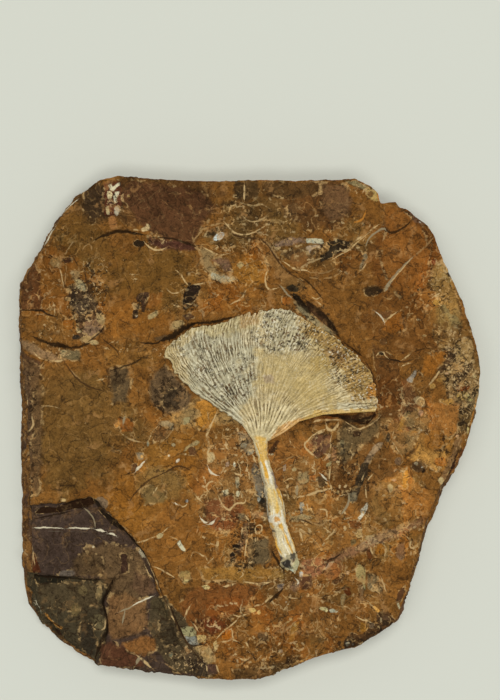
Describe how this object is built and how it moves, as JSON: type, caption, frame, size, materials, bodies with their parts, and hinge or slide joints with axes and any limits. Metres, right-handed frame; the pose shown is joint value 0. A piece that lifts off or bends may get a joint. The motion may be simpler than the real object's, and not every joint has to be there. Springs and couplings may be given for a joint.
{
  "type": "fossil ginkgo leaf",
  "caption": "Fan-shaped ginkgo leaf with its stalk, preserved as pale mineral on the split face of a small slab of ochre rock that lies flat.",
  "frame": {"origin": "middle of the flat underside's box, on the surface that the slab lies on", "axes": "+Z out of the split face that holds the leaf, +Y from the stalk's broken end towards the leaf's outer margin, +X to the right of the leaf seen from +Z"},
  "size_m": [0.0348, 0.0376, 0.0045],
  "materials": {
    "matrix_stone": "fine-grained, matt split rock, ochre to purple-brown, with pale mineral veinlets and dark stains",
    "leaf_mineral": "chalky cream mineral with fine radiating vein ridges and dark pits, golden along the stalk"
  },
  "bodies": {
    "root": {"rock_matrix": "matrix_stone", "ginkgo_leaf": "leaf_mineral"}
  },
  "joints": []
}
